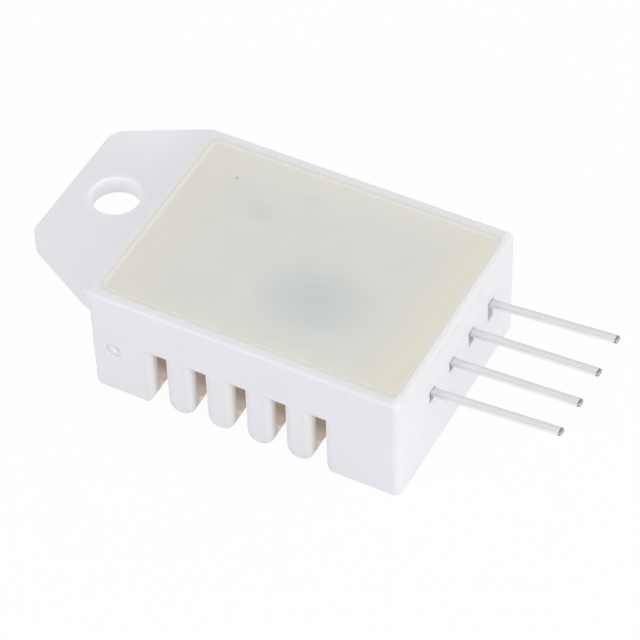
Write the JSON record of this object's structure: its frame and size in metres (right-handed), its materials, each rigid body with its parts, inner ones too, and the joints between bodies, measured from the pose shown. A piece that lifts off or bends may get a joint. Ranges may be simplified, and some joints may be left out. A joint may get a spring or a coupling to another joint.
{
  "type": "temperature humidity sensor module",
  "caption": "Small potted sensor module: white housing with a slotted grille, a mounting tab with a hole, and a row of flat connector pins, for measuring air temperature and humidity.",
  "frame": {"origin": "centre of the body's footprint on the grille face, the face that the module lies on in the picture", "axes": "+Z from the grille face to the potted back, +X along the connector pins and away from the mounting tab, +Y across the body"},
  "size_m": [0.0333, 0.0152, 0.0077],
  "materials": {
    "housing_plastic": "white moulded plastic, fine satin surface",
    "potting_resin": "milky, faintly yellow cast resin, soft sheen",
    "board_laminate": "brown glass-fibre laminate under a thin mask",
    "tinned_pin": "bright tin plating with drawn lines",
    "solder": "smooth bright solder",
    "chip_body": "black moulding compound, fine grain",
    "chip_lead": "tinned",
    "capacitor_ceramic": "tan fired ceramic",
    "resistor_ceramic": "black glazed film on ceramic",
    "element_ceramic": "white fired ceramic",
    "electrode_metal": "thin gold film",
    "humidity_film": "brown polymer film, slight sheen",
    "thermistor_coating": "dipped black coating"
  },
  "bodies": {
    "root": {"housing": "housing_plastic", "potting_resin": "potting_resin", "circuit_board": "board_laminate", "pin_1": "tinned_pin", "pin_2": "tinned_pin", "pin_3": "tinned_pin", "pin_4": "tinned_pin", "pin_solder": "solder", "controller_chip": "chip_body", "controller_leads": "chip_lead", "capacitor_1": "capacitor_ceramic", "capacitor_2": "capacitor_ceramic", "resistor_1": "resistor_ceramic", "resistor_2": "resistor_ceramic", "resistor_3": "resistor_ceramic", "chip_part_terminals": "solder", "humidity_substrate": "element_ceramic", "humidity_electrodes": "electrode_metal", "humidity_film": "humidity_film", "humidity_posts": "chip_lead", "thermistor_bead": "thermistor_coating", "thermistor_leads": "chip_lead", "front_solder": "solder"}
  },
  "joints": []
}
